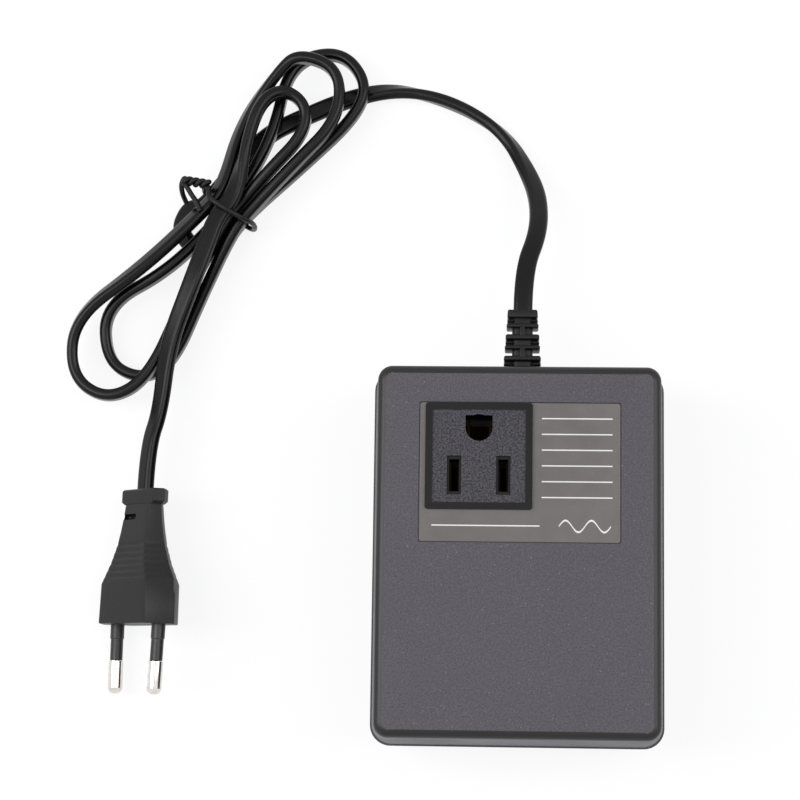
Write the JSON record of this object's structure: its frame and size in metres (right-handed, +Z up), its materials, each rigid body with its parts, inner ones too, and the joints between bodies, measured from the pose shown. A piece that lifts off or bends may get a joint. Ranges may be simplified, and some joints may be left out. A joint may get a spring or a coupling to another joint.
{
  "type": "travel voltage converter",
  "caption": "Plastic-cased step-down voltage converter with a flat-blade earthed outlet in its face and a tied flat cord ending in a slim round-pin plug.",
  "frame": {"origin": "middle of the flat back of the case, which lies on the surface", "axes": "+X across the case, +Y along the case towards the cord end, +Z up out of the outlet face"},
  "size_m": [0.1655, 0.1957, 0.0507],
  "materials": {
    "front_shell": "spark-textured dark grey ABS",
    "rear_shell": "spark-textured dark grey ABS",
    "outlet_plastic": "fine-textured dark grey nylon",
    "cap_plastic": "moulded black nylon",
    "label_film": "gloss printed film, no lettering",
    "contact_brass": "stamped",
    "screw_steel": "zinc plated",
    "lamination_steel": "stacked silicon steel, varnished",
    "bobbin_plastic": "moulded white nylon",
    "winding_copper": "enamelled copper wire",
    "winding_tape_film": "yellow polyester tape",
    "cutout_plastic": "moulded black phenolic",
    "live_wire_pvc": "brown PVC",
    "neutral_wire_pvc": "blue PVC",
    "sleeve_film": "heat-shrunk sleeve",
    "cord_pvc": "soft black PVC, satin gloss",
    "relief_pvc": "moulded soft black PVC",
    "tie_wire": "black plastic-coated tie wire",
    "plug_pvc": "moulded black PVC",
    "pin_nickel": "bright nickel plate",
    "pin_sleeve_plastic": "moulded dark grey"
  },
  "bodies": {
    "root": {"front_cover": "front_shell", "rear_cover": "rear_shell", "case_screws": "screw_steel", "label_plate": "label_film", "outlet_body": "outlet_plastic", "outlet_rear_cap": "cap_plastic", "neutral_contact": "contact_brass", "live_contact": "contact_brass", "earth_contact": "contact_brass", "core_e_stack": "lamination_steel", "core_i_stack": "lamination_steel", "coil_bobbin": "bobbin_plastic", "common_winding": "winding_copper", "series_winding": "winding_copper", "winding_tape": "winding_tape_film", "core_screws": "screw_steel", "thermal_cutout": "cutout_plastic", "live_core": "live_wire_pvc", "neutral_core": "neutral_wire_pvc", "outlet_live_wire": "live_wire_pvc", "outlet_neutral_wire": "neutral_wire_pvc", "wire_sleeves": "sleeve_film", "strain_relief": "relief_pvc", "cord_lead": "cord_pvc", "cord_hank": "cord_pvc", "cord_plug_lead": "cord_pvc", "cord_tie": "tie_wire", "plug_body": "plug_pvc", "plug_pins": "pin_nickel", "pin_sleeves": "pin_sleeve_plastic"}
  },
  "joints": []
}
